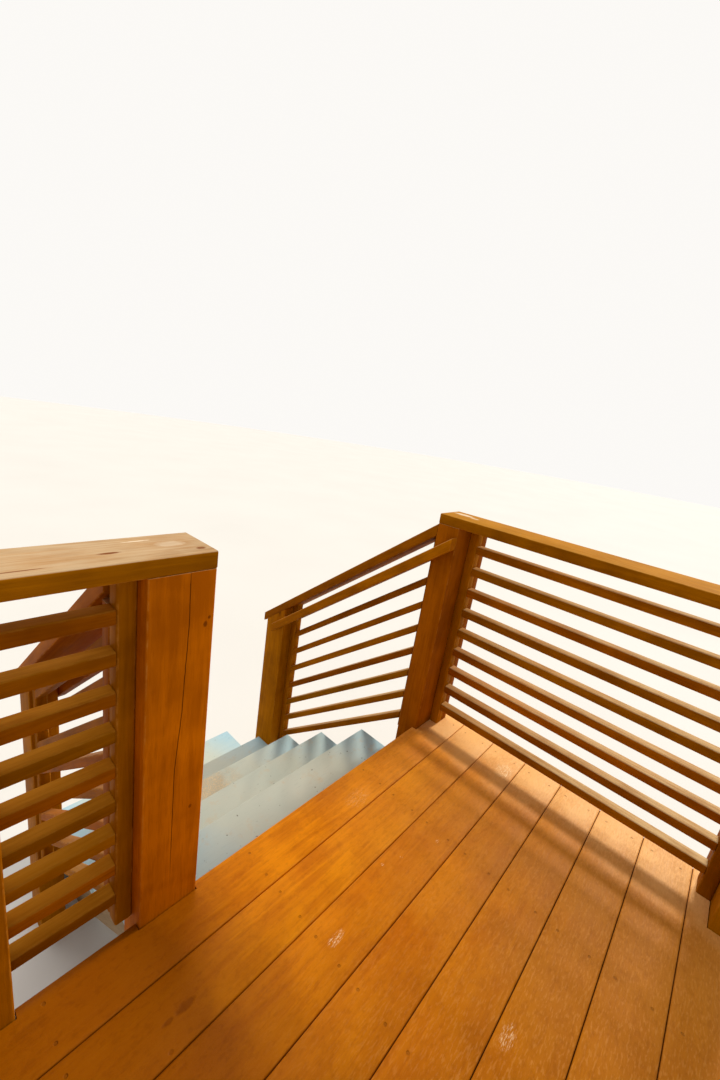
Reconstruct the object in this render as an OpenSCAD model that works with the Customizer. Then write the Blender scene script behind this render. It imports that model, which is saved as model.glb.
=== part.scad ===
// Wooden deck stairs: a raised landing with slatted rails and an open flight
// of five treads. X runs along the front edge, +Y points down the stairs and
// +Z is up. The origin is on the ground under the middle of the whole part.

/* [Deck] */
// Height of the deck surface above the ground
deck_h = 1080; // [960:10:1200]
// Number of deck boards from the front edge to the house
board_count = 8; // [7:1:10]
// Width of one deck board
board_w = 138; // [120:1:138]
// Gap between two deck boards
board_gap = 2; // [2:1:8]
// Overhang of the front board past the front rim
front_overhang = 19; // [10:1:30]
// Overhang of the boards past the side rims
side_overhang = 30; // [0:1:40]
// Space between the rear posts and the house
rear_space = 0; // [0:1:100]
// Clearance of the board notches around the posts
notch_gap = 2; // [1:1:5]

/* [Lumber] */
// Thickness of all two-inch boards
plank_t = 38; // [35:1:42]
// Long side of the big posts
post_w = 140; // [120:1:150]
// Short side of the big posts, and both sides of the square post
post_d = 89; // [80:1:100]
// Depth of the joists, side rims and ledger
joist_d = 184; // [140:1:190]
// Number of joists between the side rims
joist_count = 4; // [3:1:6]
// Depth of the front rim, which also carries the stringers
rim_d = 286; // [240:1:300]
// Radius of the eased edges along each board
ease = 4; // [2:0.5:6]

/* [Bays] */
// Clear width between the two posts beside the stairs
opening_w = 988; // [860:1:1200]
// Clear width of the narrow slat bay beside the stairs
narrow_bay_w = 233; // [180:1:500]
// Clear width of the wide slat bay
wide_bay_w = 700; // [400:10:1200]

/* [Railing] */
// Height of the rail's top above the deck
rail_h = 917; // [860:1:940]
// Width of the flat cap boards
cap_w = 140; // [130:1:150]
// Side of the square trims and handrails, and the depth of the slats
slat_s = 38; // [34:1:42]
// Height of a slat in a level panel
level_slat_t = 32; // [24:1:38]
// Number of slats in a level panel
slat_count = 9; // [5:1:11]
// Space between the deck and the lowest slat
slat_low_gap = 69; // [40:1:120]
// Space between the highest slat and the cap
slat_high_gap = 69; // [40:1:120]
// Setback of the front panels from the deck side of the posts
panel_setback = 41; // [30:1:50]

/* [Stairs] */
// Number of treads
tread_count = 5; // [4:1:5]
// Horizontal distance from nosing to nosing
run = 248; // [235:1:260]
// Depth of a tread from front to back
tread_d = 277; // [265:1:286]
// Extra depth of the lowest tread
low_tread_extra = 84; // [0:1:100]
// Width of the planks that the stringers are sawn from
stringer_d = 286; // [260:1:300]
// Number of stringers
stringer_count = 3; // [2:1:4]

/* [Stair railing] */
// Fall of the stair rails for each unit of length
rail_fall = 0.8; // [0.7:0.01:0.85]
// Drop of the stair caps below the level caps where they meet the posts
stair_cap_drop = 41; // [39:1:60]
// Clear length between an upper post and its newel
stair_bay = 823; // [700:1:900]
// Length of the stair cap past the newel
stair_cap_end = 28; // [10:1:60]
// Number of slats in a stair panel
stair_slat_count = 8; // [5:1:9]
// Thickness of the stair slats, square to their slope
stair_slat_t = 28; // [24:1:38]
// Drop of the highest stair slat below the top of the stair cap
high_slat_drop = 104; // [90:1:150]
// Drop of the lowest stair slat below the top of the stair cap
low_slat_drop = 862; // [780:1:900]
// Drop of the handrail below the line of the stair cap
handrail_drop = 101; // [90:1:130]
// Length of the handrail along the newel
handrail_grip = 55; // [40:1:80]
// Inset of the right stair slats from the outer side of their post
stair_slat_inset = 44; // [30:1:60]
// Distance that the left stair rail stands out past its post's inner side
left_rail_out = 61; // [30:1:90]
// Overhang of the left stair cap past the inner side of its newel
left_cap_overhang = 16; // [0:1:30]

/* [Hidden] */

// The stretch between two places on an axis, from its low end and its length
function span(low, size) = [low, low + size];

// Places along X. The right face of the left stair post is x = 0
post_right_x = span(opening_w, post_w);
post_left_x = span(-post_w, post_w);
middle_x = span(post_left_x[0] - narrow_bay_w - post_d, post_d);
corner_x = span(middle_x[0] - wide_bay_w - post_w, post_w);
right_rim_x = span(post_right_x[1], plank_t);
left_rim_x = span(corner_x[0] - plank_t, plank_t);
tread_x = [-left_rail_out, opening_w];
deck_x = [left_rim_x[0] - side_overhang, right_rim_x[1] + side_overhang];
frame_x = [left_rim_x[0], right_rim_x[1]];
narrow_trim_x = span(post_left_x[0] - slat_s, slat_s);
wide_trim_x = span(corner_x[1], slat_s);
ledger_x = [corner_x[1], post_right_x[0]];

// Places along Y. The front edge of the deck is y = 0
board_pitch = board_w + board_gap;
house_y = -board_count * board_pitch;
rim_y = span(-front_overhang - plank_t, plank_t);
ledger_y = span(house_y, plank_t);
joist_y = [ledger_y[1], rim_y[0]];
side_rim_y = [house_y, rim_y[0]];
post_y = span(rim_y[1], post_d);
rear_y = span(house_y + rear_space, post_d);
panel_y = span(post_y[0] + panel_setback, slat_s);
nailer_y = span(panel_y[1], slat_s);
side_bay_y = [rear_y[1], post_y[0]];
newel_y = span(post_y[1] + stair_bay, post_w);

// Heights
frame_top = deck_h - plank_t;
joist_z = span(frame_top - joist_d, joist_d);
rise = deck_h / (tread_count + 1);
cap_z = span(deck_h + rail_h - plank_t, plank_t);
panel_z = [deck_h, cap_z[0]];
slat_room = cap_z[0] - deck_h - slat_low_gap - slat_high_gap;
slat_pitch = (slat_room - level_slat_t) / (slat_count - 1);
function slat_z(i) = span(deck_h + slat_low_gap + i * slat_pitch, level_slat_t);

// The stair rails fall along one line, the top of the stair caps
tilt = sqrt(1 + rail_fall * rail_fall);
cap_rise = plank_t * tilt;
stair_slat_rise = stair_slat_t * tilt;
stair_slat_pitch = (low_slat_drop - high_slat_drop) / (stair_slat_count - 1);
function stair_line(y) = cap_z[1] - stair_cap_drop - rail_fall * (y - post_y[1]);

// The stringers
stair_fall = rise / run;
throat = stringer_d * sqrt(1 + stair_fall * stair_fall);
function step_y(i) = rim_y[1] + i * run;
function step_z(i) = deck_h - i * rise - plank_t;
foot_y = step_y(tread_count) + low_tread_extra;
front_y = step_y(tread_count - 1) + tread_d + low_tread_extra;

// A plain box between two places on each axis
module block(x, y, z) {
  translate([x[0], y[0], z[0]])
    cube([x[1] - x[0], y[1] - y[0], z[1] - z[0]]);
}

// The cross-section of a board whose corners are eased
module eased_section(w, h) {
  translate([ease, 0]) square([w - 2 * ease, h]);
  translate([0, ease]) square([w, h - 2 * ease]);
  for (u = [ease, w - ease], v = [ease, h - ease])
    translate([u, v]) circle(r = ease, $fn = 24);
}

// Boards between two places on each axis, their long edges eased
module board_along_x(x, y, z) {
  translate([x[0], y[0], z[0]])
    rotate([90, 0, 90])
      linear_extrude(x[1] - x[0])
        eased_section(y[1] - y[0], z[1] - z[0]);
}

module board_along_y(x, y, z) {
  translate([x[0], y[1], z[0]])
    rotate([90, 0, 0])
      linear_extrude(y[1] - y[0])
        eased_section(x[1] - x[0], z[1] - z[0]);
}

module board_upright(x, y, z) {
  translate([x[0], y[0], z[0]])
    linear_extrude(z[1] - z[0])
      eased_section(x[1] - x[0], y[1] - y[0]);
}

// A piece with a shaped side outline, points given as [y, z]
module side_cut(x, points) {
  translate([x[0], 0, 0])
    rotate([90, 0, 90])
      linear_extrude(x[1] - x[0])
        polygon(points);
}

// A stretch below the line of the stair rails, its ends upright
module below_stair_line(x, y, drop, height) {
  side_cut(x, [
    [y[0], stair_line(y[0]) - drop - height],
    [y[1], stair_line(y[1]) - drop - height],
    [y[1], stair_line(y[1]) - drop],
    [y[0], stair_line(y[0]) - drop]
  ]);
}

// A board that falls with the stairs: eased along its length and cut upright at both ends
module falling_board(x, y, drop, thickness) {
  reach = (y[1] - y[0]) * tilt + 4 * thickness * rail_fall;
  intersection() {
    translate([x[0], y[0], stair_line(y[0]) - drop])
      rotate([-atan(rail_fall), 0, 0])
        translate([0, reach - thickness * rail_fall, -thickness])
          rotate([90, 0, 0])
            linear_extrude(reach)
              eased_section(x[1] - x[0], thickness);
    block(x, y, [0, cap_z[1]]);
  }
}

// Moves a piece from the corner of the stair opening to the part's origin
module placed() {
  translate([-(deck_x[0] + deck_x[1]) / 2, -(house_y + front_y) / 2, 0])
    children();
}

// Mirrors a piece of the right stair rail to the place of the left one
module other_side_of_stairs() {
  translate([opening_w - left_rail_out, 0, 0]) mirror([1, 0, 0]) children();
}

// Mirrors a piece across the middle of the deck
module other_side_of_deck() {
  translate([deck_x[0] + deck_x[1], 0, 0]) mirror([1, 0, 0]) children();
}

module post_plans(grow) {
  for (x = [post_left_x, post_right_x, middle_x, corner_x])
    block([x[0] - grow, x[1] + grow], [post_y[0] - grow, post_y[1]], [0, cap_z[0]]);
  for (x = [post_right_x, corner_x])
    block([x[0] - grow, x[1] + grow], [rear_y[0] - grow, rear_y[1] + grow], [0, cap_z[0]]);
}

module deck_board(i) {
  front = -(i - 1) * board_pitch;
  color("darkorange") placed() difference() {
    board_along_x(deck_x, [front - board_w, front], [frame_top, deck_h]);
    post_plans(notch_gap);
  }
}

module joists() {
  clear_x = [left_rim_x[1], right_rim_x[0]];
  spacing = (clear_x[1] - clear_x[0]) / (joist_count + 1);
  color("peru") placed()
    for (i = [1 : joist_count])
      board_along_y(span(clear_x[0] + i * spacing - plank_t / 2, plank_t), joist_y, joist_z);
}

module front_rim() {
  color("chocolate") placed() board_along_x(frame_x, rim_y, [frame_top - rim_d, frame_top]);
}

module left_rim() {
  color("chocolate") placed() board_along_y(left_rim_x, side_rim_y, joist_z);
}

module right_rim() {
  color("chocolate") placed() board_along_y(right_rim_x, side_rim_y, joist_z);
}

// The ledger lies on the house wall between the rear posts
module house_ledger() {
  color("peru") placed() board_along_x(ledger_x, ledger_y, joist_z);
}

module post(x, y) {
  color("sienna") placed() board_upright(x, y, [0, cap_z[0]]);
}

// The newel's head is sawn to the underside of the stair cap
module newel() {
  x = span(opening_w, post_d);
  intersection() {
    board_upright(x, newel_y, [0, cap_z[0]]);
    side_cut(x, [
      [newel_y[0], 0],
      [newel_y[1], 0],
      [newel_y[1], stair_line(newel_y[1]) - cap_rise],
      [newel_y[0], stair_line(newel_y[0]) - cap_rise]
    ]);
  }
}

module front_cap() {
  color("orange") placed()
    board_along_x([corner_x[0], 0], span(post_y[0], cap_w), cap_z);
}

module right_cap() {
  color("orange") placed()
    board_along_y(span(opening_w, cap_w), [rear_y[0], post_y[1]], cap_z);
}

module left_cap() {
  color("orange") placed()
    board_along_y(span(corner_x[0], cap_w), [rear_y[0], post_y[0]], cap_z);
}

module stair_cap(overhang) {
  falling_board(span(opening_w - overhang, cap_w), [post_y[1], newel_y[1] + stair_cap_end],
    0, plank_t);
}

// The right handrail runs along its post, the left one starts behind it
module handrail(start) {
  falling_board(span(opening_w - slat_s, slat_s), [start, newel_y[0] + handrail_grip],
    handrail_drop, slat_s);
}

// Level slats across a span of X, stacked from the lowest up
module slats_along_x(x) {
  for (i = [0 : slat_count - 1])
    board_along_x(x, panel_y, slat_z(i));
}

module narrow_slat_panel() {
  color("saddlebrown") placed() union() {
    slats_along_x([middle_x[1], post_left_x[0] - slat_s]);
    board_upright(narrow_trim_x, panel_y, panel_z);
  }
}

module wide_slat_panel() {
  color("saddlebrown") placed() union() {
    slats_along_x([corner_x[1] + slat_s, middle_x[0]]);
    board_upright(wide_trim_x, panel_y, panel_z);
  }
}

// Uprights behind the trims of the front panels, against the posts. The one
// beside the stairs ends below the left stair cap
module front_nailers() {
  short_z = [deck_h, stair_line(nailer_y[1]) - cap_rise - notch_gap];
  color("saddlebrown") placed() {
    board_upright(narrow_trim_x, nailer_y, short_z);
    board_upright(wide_trim_x, nailer_y, panel_z);
  }
}

// The side panels stand on the deck between the corner post and the rear post
module side_slat_panel() {
  x = span(post_right_x[1] - slat_s, slat_s);
  for (i = [0 : slat_count - 1])
    board_along_y(x, [side_bay_y[0] + slat_s, side_bay_y[1] - slat_s], slat_z(i));
  for (low = [side_bay_y[0], side_bay_y[1] - slat_s])
    board_upright(x, span(low, slat_s), panel_z);
}

// Uprights outside the trims of a side panel
module side_nailers() {
  for (low = [side_bay_y[0], side_bay_y[1] - slat_s])
    board_upright(span(post_right_x[1], slat_s), span(low, slat_s), panel_z);
}

module stair_slat_panel(inset) {
  x = span(post_right_x[1] - inset - slat_s, slat_s);
  bay = [post_y[1], newel_y[0]];
  trim_length = low_slat_drop + stair_slat_rise + slat_s - cap_rise;
  for (i = [0 : stair_slat_count - 1])
    falling_board(x, [bay[0] + slat_s, bay[1] - slat_s], high_slat_drop + i * stair_slat_pitch,
      stair_slat_t);
  for (low = [bay[0], bay[1] - slat_s])
    below_stair_line(x, span(low, slat_s), cap_rise, trim_length);
}

// A stringer sawn to carry the treads, its back against the front rim
module stringer(i) {
  spacing = (opening_w - plank_t) / (stringer_count - 1);
  left = (i - 1) * spacing;
  steps = [for (k = [1 : tread_count], p = [[k - 1, k], [k, k]])
    [k == tread_count && p[0] == k ? foot_y : step_y(p[0]), step_z(p[1])]];
  underside = step_z(0) - throat;
  heel_y = rim_y[1] + underside / stair_fall;
  color("peru") placed() side_cut([left, left + plank_t], concat(
    steps,
    [[foot_y, 0], [heel_y, 0], [rim_y[1], underside]]
  ));
}

// The highest tread is notched round the left stair post
module tread(i) {
  back = step_y(i - 1);
  extra = i == tread_count ? low_tread_extra : 0;
  color("lightsteelblue") placed() difference() {
    board_along_x(tread_x, span(back, tread_d + extra), span(step_z(i), plank_t));
    block([post_left_x[0], notch_gap], [rim_y[0], post_y[1]], [0, deck_h]);
  }
}

deck_board(1);  // deck_board_1
deck_board(2);  // deck_board_2
deck_board(3);  // deck_board_3
deck_board(4);  // deck_board_4
deck_board(5);  // deck_board_5
deck_board(6);  // deck_board_6
deck_board(7);  // deck_board_7
deck_board(8);  // deck_board_8
joists();
front_rim();
left_rim();
right_rim();
house_ledger();
post(post_left_x, post_y);  // stair_post_left
post(post_right_x, post_y);  // stair_post_right
post(middle_x, post_y);  // middle_post
post(corner_x, post_y);  // left_corner_post
post(corner_x, rear_y);  // left_rear_post
post(post_right_x, rear_y);  // right_rear_post
color("sienna") placed() other_side_of_stairs() newel();  // newel_left
color("sienna") placed() newel();  // newel_right
front_cap();
left_cap();
right_cap();
color("orange") placed() other_side_of_stairs() stair_cap(left_cap_overhang);  // stair_cap_left
color("orange") placed() stair_cap(0);  // stair_cap_right
color("chocolate") placed() other_side_of_stairs() handrail(post_y[1]);  // handrail_left
color("chocolate") placed() handrail(post_y[0]);  // handrail_right
narrow_slat_panel();
wide_slat_panel();
color("saddlebrown") placed() other_side_of_deck() side_slat_panel();  // left_slat_panel
color("saddlebrown") placed() side_slat_panel();  // right_slat_panel
front_nailers();
color("saddlebrown") placed() other_side_of_deck() side_nailers();  // left_nailers
color("saddlebrown") placed() side_nailers();  // right_nailers
color("saddlebrown") placed() other_side_of_stairs() stair_slat_panel(left_rail_out);  // stair_slat_panel_left
color("saddlebrown") placed() stair_slat_panel(stair_slat_inset);  // stair_slat_panel_right
stringer(1);  // stringer_1
stringer(2);  // stringer_2
stringer(3);  // stringer_3
tread(1);  // tread_1
tread(2);  // tread_2
tread(3);  // tread_3
tread(4);  // tread_4
tread(5);  // tread_5
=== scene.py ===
# %% [markdown]
# # Wooden deck stairs
# A raised deck with slatted rails, and a straight flight of stairs going down from
# its front edge. The model of its construction is loaded first and stays as it is.
# Sizes could be measured again here, but then looks and construction would drift
# apart. So each board takes its place and size from the corners of its node.

# %% Load the frame
import math
import random

import bpy
from mathutils import Matrix, Vector


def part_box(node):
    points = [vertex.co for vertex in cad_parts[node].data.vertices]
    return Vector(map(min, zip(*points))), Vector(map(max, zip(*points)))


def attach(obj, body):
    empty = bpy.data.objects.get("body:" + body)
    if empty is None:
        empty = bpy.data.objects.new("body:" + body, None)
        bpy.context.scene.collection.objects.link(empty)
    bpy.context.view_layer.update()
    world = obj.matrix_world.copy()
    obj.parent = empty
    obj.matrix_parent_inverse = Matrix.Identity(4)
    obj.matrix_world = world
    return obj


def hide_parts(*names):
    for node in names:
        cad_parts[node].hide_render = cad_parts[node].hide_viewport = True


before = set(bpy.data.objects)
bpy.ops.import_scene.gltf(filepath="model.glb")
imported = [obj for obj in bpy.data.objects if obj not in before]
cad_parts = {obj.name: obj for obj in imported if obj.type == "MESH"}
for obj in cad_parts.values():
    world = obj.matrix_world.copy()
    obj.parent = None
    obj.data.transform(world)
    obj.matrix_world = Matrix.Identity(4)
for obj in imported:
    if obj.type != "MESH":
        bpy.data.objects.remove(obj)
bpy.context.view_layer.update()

# %% [markdown]
# ## The camera
# The photograph was taken by someone standing on the deck with a wide lens, looking
# down and to the right, the camera a little tilted. Aiming a camera at a target
# can't give that tilt. So the place is given from one corner of the deck, where the
# right face of the left stair post meets the front edge of the boards, and three
# angles and a focal length complete the view.

# %% Set the camera
_, post_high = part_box("stair_post_left")
board_low, board_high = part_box("deck_board_1")
deck_corner = Vector((post_high[0], board_high[1], board_high[2]))

EYE = Vector((-0.4695, -0.7785, 1.2162))
YAW, PITCH, ROLL = 0.872, -0.266, 0.155
FOCAL_IN_WIDTHS = 442.3 / 720
NEAREST_SEEN = 0.02


def view_axes(yaw, pitch, roll):
    """The camera's right, up and forward directions."""
    forward = Vector((
        math.sin(yaw) * math.cos(pitch),
        math.cos(yaw) * math.cos(pitch),
        math.sin(pitch),
    ))
    level = Vector((math.cos(yaw), -math.sin(yaw), 0))
    upright = level.cross(forward)
    right = math.cos(roll) * level + math.sin(roll) * upright
    up = math.cos(roll) * upright - math.sin(roll) * level
    return right, up, forward


camera_data = bpy.data.cameras.new("camera")
camera_data.sensor_fit = "HORIZONTAL"
camera_data.lens = camera_data.sensor_width * FOCAL_IN_WIDTHS
camera_data.clip_start = NEAREST_SEEN
camera = bpy.data.objects.new("camera", camera_data)
bpy.context.scene.collection.objects.link(camera)
right, up, forward = view_axes(YAW, PITCH, ROLL)
camera.matrix_world = (
    Matrix.Translation(deck_corner + EYE)
    @ Matrix((right, up, -forward)).transposed().to_4x4()
)
bpy.context.scene.camera = camera
print("camera at", tuple(round(v, 3) for v in camera.location), "lens", round(camera_data.lens, 2))

# %% [markdown]
# ## One way to make a board
# Nearly everything here is sawn lumber: a long box whose four long edges are eased,
# with barely broken edges at the cut ends. A Bevel modifier would round all edges
# alike. So a helper adds a cube, sizes it, and works in edit mode, as one would by
# hand: it bevels the long edges round and the end edges a hair.

# %% Helpers for edit mode
AXES = {"x": 0, "y": 1, "z": 2, "fall": 1}
TINY = 1e-5


def select_only(obj):
    """Makes obj the one selected and active object."""
    bpy.ops.object.select_all(action="DESELECT")
    obj.select_set(True)
    bpy.context.view_layer.objects.active = obj


def choose_none(obj):
    """Clears the choice of corners, edges and faces, in object mode."""
    for group in (obj.data.vertices, obj.data.edges, obj.data.polygons):
        group.foreach_set("select", [False] * len(group))


def choose_edges(obj, wanted):
    """Selects the edges whose two ends pass the test."""
    choose_none(obj)
    for edge in obj.data.edges:
        ends = [obj.data.vertices[v].co for v in edge.vertices]
        edge.select = bool(wanted(*ends))
        for vertex in edge.vertices if edge.select else ():
            obj.data.vertices[vertex].select = True


def choose_corners(obj, wanted):
    """Selects the corners whose place passes the test."""
    choose_none(obj)
    for vertex in obj.data.vertices:
        vertex.select = bool(wanted(vertex.co))


def in_edit_mode(obj, operator, kind="EDGE", **settings):
    """Runs one operator on what is selected in obj."""
    select_only(obj)
    kinds = [kind == name for name in ("VERT", "EDGE", "FACE")]
    bpy.context.tool_settings.mesh_select_mode = kinds
    bpy.ops.object.mode_set(mode="EDIT")
    operator(**settings)
    bpy.ops.object.mode_set(mode="OBJECT")


def bevel_edges(obj, wanted, width, segments):
    """Rounds the edges that pass the test."""
    choose_edges(obj, wanted)
    in_edit_mode(obj, bpy.ops.mesh.bevel, offset=width, segments=segments, affect="EDGES")


print("edit mode helpers ready")

# %% [markdown]
# The grain of each board has to differ from its neighbour's. Each could have its own
# material, but one for all is easier to change. So each board carries a number of
# its own, a mesh attribute called plank, which the material reads to slide its
# pattern and to shift its tone. A second attribute, worn, says how pale the board's
# upper face is painted: partly sun bleaching, partly painted sunlight and sheen. It
# may change from one end to the other.

# %% Boards
EASE = 0.004
BROKEN_EDGE = 0.0008
ROUND_STEPS, FLAT_STEPS = 3, 1
SMOOTH_BELOW = math.radians(40)
random.seed(12)


def mark_plank(obj, number=None, worn=1.0):
    """Gives a board its number and its wear, which also sets the painted sheen on its upper face
    and may differ at its two ends along Y.
    """
    number = random.random() if number is None else number
    near_sheen_and_wear, far_sheen_and_wear = worn if isinstance(worn, tuple) else (worn, worn)
    places = [v.co.y for v in obj.data.vertices]
    start, reach = min(places), max(places) - min(places)
    sheen_and_wear = [near_sheen_and_wear + (far_sheen_and_wear - near_sheen_and_wear) * (y - start) / reach for y in places]
    for name, values in (("plank", [number] * len(places)), ("worn", sheen_and_wear)):
        mark = obj.data.attributes.new(name, "FLOAT", "POINT")
        mark.data.foreach_set("value", values)


def plain_box(name, low, high):
    """A cube primitive between two corners, with its place in its mesh."""
    low, high = Vector(low), Vector(high)
    bpy.ops.object.select_all(action="DESELECT")
    bpy.ops.mesh.primitive_cube_add(size=1, location=(low + high) / 2, scale=high - low)
    obj = bpy.context.object
    obj.name = obj.data.name = name
    bpy.ops.object.transform_apply(location=True, rotation=True, scale=True)
    return obj


def ease_edges(obj, along, ease=EASE):
    """Rounds the edges along one axis and breaks those at the ends."""
    axis = AXES[along]

    def runs_along(a, b):
        across = [i for i in range(3) if i != axis]
        return all(abs(a[i] - b[i]) < TINY for i in across)

    def at_an_end(a, b):
        return abs(a[axis] - b[axis]) < TINY

    bevel_edges(obj, runs_along, ease, ROUND_STEPS)
    bevel_edges(obj, at_an_end, BROKEN_EDGE, FLAT_STEPS)


def board(name, low, high, along, ease=EASE, number=None, worn=1.0):
    """One straight board with eased edges."""
    obj = plain_box(name, low, high)
    ease_edges(obj, along, ease)
    mark_plank(obj, number, worn)
    return obj


def finish_piece(obj, nodes):
    """Shades a piece smooth on its rounded edges and ties it to the frame."""
    select_only(obj)
    bpy.ops.object.shade_smooth_by_angle(angle=SMOOTH_BELOW)
    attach(obj, "root")
    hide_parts(*nodes)
    return obj


print("board helpers ready")

# %% [markdown]
# ## Shader sums in plain Python
# A pattern such as wood grain is arithmetic on noise. Written as nodes it is hard to
# read, so a small class wraps a node's output and turns each Python operator into a
# Math node.

# %% A socket with operators
def colour(red, green, blue):
    """A colour given as it looks on screen, 0 to 255, for a shader."""
    def linear(value):
        value /= 255
        return value / 12.92 if value < 0.04045 else ((value + 0.055) / 1.055) ** 2.4
    return (linear(red), linear(green), linear(blue), 1.0)


class Output:
    """A node's output that can be added, multiplied and compared."""

    def __init__(self, finish, socket):
        self.finish, self.socket = finish, socket

    def __add__(self, other):
        return self.finish.math("ADD", self, other)

    def __radd__(self, other):
        return self.finish.math("ADD", other, self)

    def __sub__(self, other):
        return self.finish.math("SUBTRACT", self, other)

    def __rsub__(self, other):
        return self.finish.math("SUBTRACT", other, self)

    def __mul__(self, other):
        return self.finish.math("MULTIPLY", self, other)

    def __rmul__(self, other):
        return self.finish.math("MULTIPLY", other, self)

    def __gt__(self, other):
        return self.finish.math("GREATER_THAN", self, other)

    def __lt__(self, other):
        return self.finish.math("LESS_THAN", self, other)

    def __abs__(self):
        return self.finish.math("ABSOLUTE", self)


print("shader sums ready")

# %% [markdown]
# Every node comes from one method, which sets the node up and then fills its sockets
# with numbers or with other outputs. The other methods only give the common nodes
# short names. Places are object coordinates throughout, so a pattern stays on the
# wood from whichever side one looks.

# %% A finish that grows node by node
class Finish:
    """A material under construction."""

    def __init__(self, name):
        self.material = bpy.data.materials.new(name)
        self.material.use_nodes = True
        self.tree = self.material.node_tree
        self.shader = self.tree.nodes["Principled BSDF"]

    def fill(self, node, inputs):
        """Links outputs to a node's sockets, or sets the sockets to constants."""
        for key, value in inputs.items():
            if isinstance(value, Output):
                self.tree.links.new(value.socket, node.inputs[key])
            else:
                node.inputs[key].default_value = value

    def node(self, kind, settings=None, inputs=None, output=0):
        """Adds a node, sets it up, fills its sockets and hands back one output."""
        node = self.tree.nodes.new(kind)
        for name, value in (settings or {}).items():
            if name == "stops":
                self.set_stops(node.color_ramp.elements, value)
            else:
                setattr(node, name, value)
        self.fill(node, inputs or {})
        return Output(self, node.outputs[output])

    def set_stops(self, elements, stops):
        """Sets a ramp's stops, each a value and the level it gives."""
        while len(elements) < len(stops):
            elements.new(1.0)
        for element, (place, level) in zip(elements, stops):
            element.position = place
            element.color = (level, level, level, 1.0)

    def math(self, operation, first, second=0.0):
        """Arithmetic on numbers or outputs."""
        return self.node("ShaderNodeMath", {"operation": operation}, {0: first, 1: second})

    def here(self):
        """The place on the object, in metres."""
        return self.node("ShaderNodeTexCoord", output="Object")

    def attribute(self, name):
        """What a mesh attribute says, such as a board's own number."""
        return self.node("ShaderNodeAttribute", {"attribute_name": name}, output="Fac")

    def part(self, vector, axis):
        return self.node("ShaderNodeSeparateXYZ", None, {0: vector}, axis)

    def normal(self, axis):
        """One part of the direction that the surface faces, -1 to 1."""
        return self.part(self.node("ShaderNodeNewGeometry", output="Normal"), axis)

    def combine(self, x, y, z=0.0):
        return self.node("ShaderNodeCombineXYZ", None, {0: x, 1: y, 2: z})

    def length(self, vector):
        return self.node("ShaderNodeVectorMath", {"operation": "LENGTH"}, {0: vector}, "Value")

    def move(self, place, offset):
        return self.node("ShaderNodeVectorMath", {"operation": "ADD"}, {0: place, 1: offset})

    def stretch(self, place, scale, turn=(0, 0, 0), shift=(0, 0, 0)):
        return self.node("ShaderNodeMapping", None, {
            "Vector": place, "Scale": scale, "Rotation": turn, "Location": shift,
        })

    def noise(self, place, scale, detail=3.0, roughness=0.5, distortion=0.0):
        return self.node("ShaderNodeTexNoise", None, {
            "Vector": place, "Scale": scale, "Detail": detail,
            "Roughness": roughness, "Distortion": distortion,
        })

    def ramp(self, value, *stops):
        """Levels that follow a value, straight from stop to stop."""
        return self.node("ShaderNodeValToRGB", {"stops": stops}, {"Fac": value})

    def mix(self, factor, first, second, blend="MIX"):
        """The first colour where the factor is 0, and the second where it is 1."""
        settings = {"data_type": "RGBA", "blend_type": blend, "clamp_factor": True}
        return self.node("ShaderNodeMix", settings, {0: factor, 6: first, 7: second}, 2)

    def surface(self, base, roughness, height, strength, reach, shine=0.5):
        """Fills the shader: a base colour, a roughness and a relief."""
        bump = self.node("ShaderNodeBump", None, {
            "Height": height, "Strength": strength, "Distance": reach,
        })
        self.fill(self.shader, {
            "Base Color": base, "Roughness": roughness,
            "Specular IOR Level": shine, "Normal": bump,
        })
        return self.material


print("finish helpers ready")

# %% [markdown]
# ## Stained lumber
# Floor, rails and posts wear the same orange-brown solid stain. Through it the wood
# still shows: fine streaks along the board, broad blotches where the stain soaked in
# more, knots with a dark heart, and small scuffs. Boards run along X, along Y,
# upright, or down the stairs, and the streaks must run with them. A picture of wood
# would repeat from board to board, so the pattern is noise, with the long axis
# pressed together so that round noise becomes streaks.

# %% Wood patterns
RAIL_FALL = 0.8
FALL_ANGLE = math.atan(RAIL_FALL)
SLIDE = (7.3, 11.9, 5.7)
STREAK_PRESS = 0.07
KNOTS_ALONG, KNOTS_ACROSS = 2.2, 6


def board_place(finish, along):
    """Places on a board, turned to lie along it and slid by its own number."""
    place = finish.here()
    number = finish.attribute("plank")
    if along == "fall":
        place = finish.stretch(place, (1, 1, 1), turn=(FALL_ANGLE, 0, 0))
    return finish.move(place, finish.combine(*(number * step for step in SLIDE))), number


def pressed(finish, place, along, length, width=1):
    """Places with one scale along the board and another across it."""
    scale = tuple(length if axis == AXES[along] else width for axis in range(3))
    return finish.stretch(place, scale)


def knots(finish, place, along, rarity):
    """Dark hearts and the rings round them, a few on each board."""
    squeezed = pressed(finish, place, along, KNOTS_ALONG, KNOTS_ACROSS)
    cells = {"Vector": squeezed, "Scale": 1.0}
    away = finish.node("ShaderNodeTexVoronoi", None, cells)
    pick = finish.node("ShaderNodeTexVoronoi", None, cells, "Color")
    chosen = finish.node("ShaderNodeSeparateColor", None, {0: pick}) > rarity
    reach = away + (finish.noise(place, scale=30.0, detail=2.0) - 0.5) * 0.06
    heart = finish.ramp(reach, (0.035, 1.0), (0.075, 0.0)) * chosen
    halo = finish.ramp(reach, (0.06, 1.0), (0.16, 0.0)) * chosen
    return heart, halo


def grain(finish, place, along):
    """Streaks along the board: fine, and broad."""
    streaks = pressed(finish, place, along, STREAK_PRESS)
    fine = finish.noise(streaks, scale=260.0, detail=4.0, roughness=0.65, distortion=0.4)
    broad = finish.noise(streaks, scale=45.0, detail=3.0, roughness=0.55, distortion=1.2)
    return fine, broad


print("wood patterns ready")
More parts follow.
